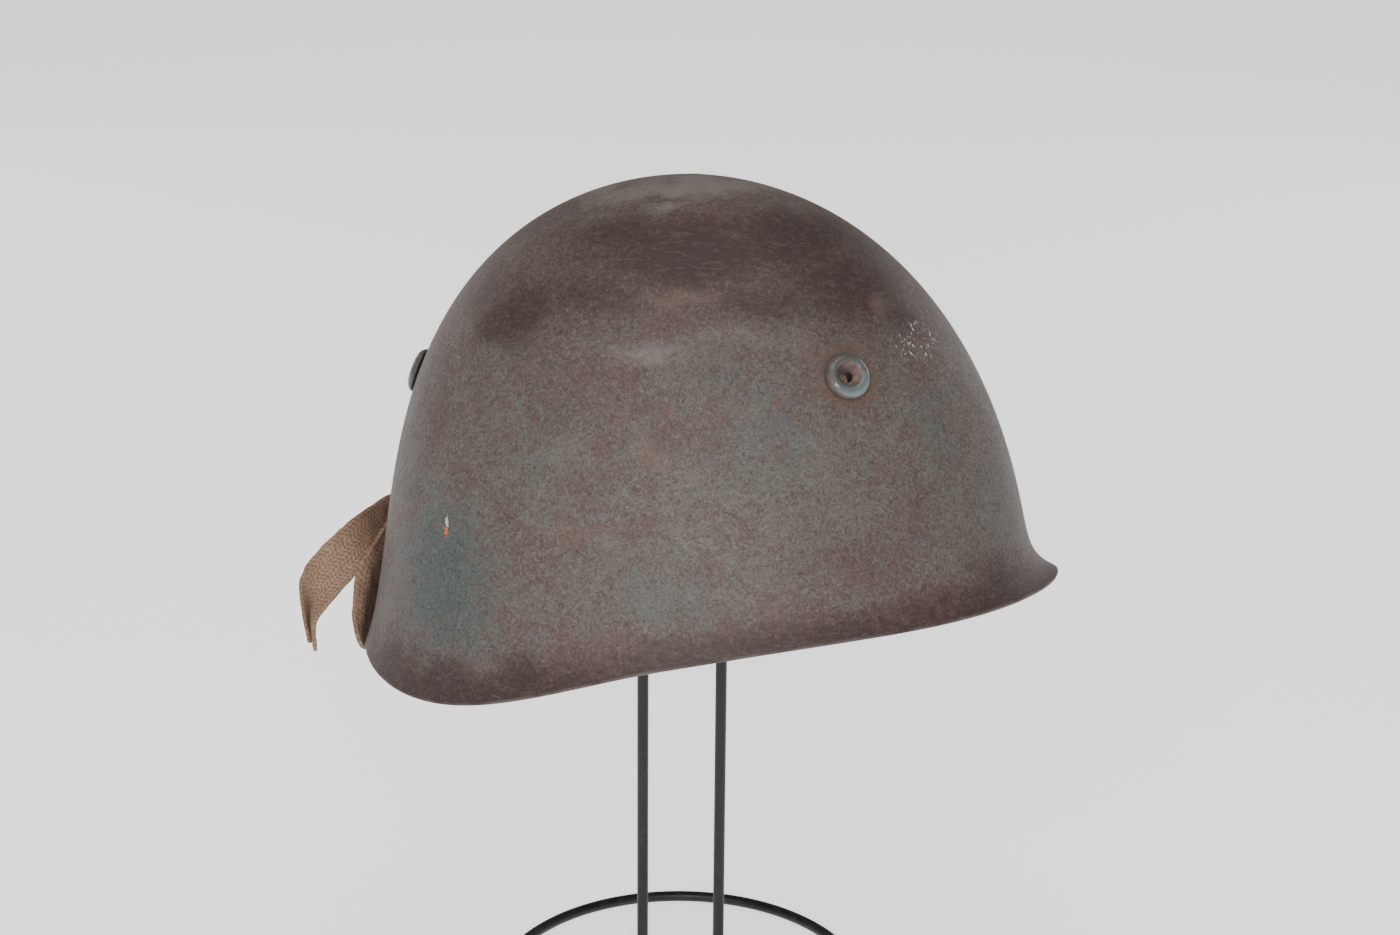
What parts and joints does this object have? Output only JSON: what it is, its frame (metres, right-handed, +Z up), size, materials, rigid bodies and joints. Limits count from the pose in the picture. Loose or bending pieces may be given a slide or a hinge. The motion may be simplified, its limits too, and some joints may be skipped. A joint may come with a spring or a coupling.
{
  "type": "steel helmet on a wire display stand",
  "caption": "pressed steel military helmet with flared rim, domed vent bushes and a webbing chin strap, resting on a bent wire stand with a round base",
  "frame": {"origin": "bottom centre of the whole thing's box, on the floor under the helmet", "axes": "+X toward the helmet's front, +Y toward the wearer's left, +Z up; the helmet leans on its stand with the right side high"},
  "size_m": [0.3148, 0.2243, 0.3637],
  "materials": {
    "painted_shell": "worn matte grey-green paint over brown primer and rust",
    "vent_paint": "chipped satin blue-grey paint",
    "webbing": "coarse brown webbing",
    "dark_steel": "darkened steel wire",
    "black_wire": "satin black"
  },
  "bodies": {
    "root": {"shell": "painted_shell", "vent_rear": "vent_paint", "vent_front_left": "vent_paint", "vent_front_right": "vent_paint", "chin_strap_right": "webbing", "chin_strap_left": "webbing", "strap_ring": "dark_steel", "wire_stand": "black_wire"}
  },
  "joints": []
}
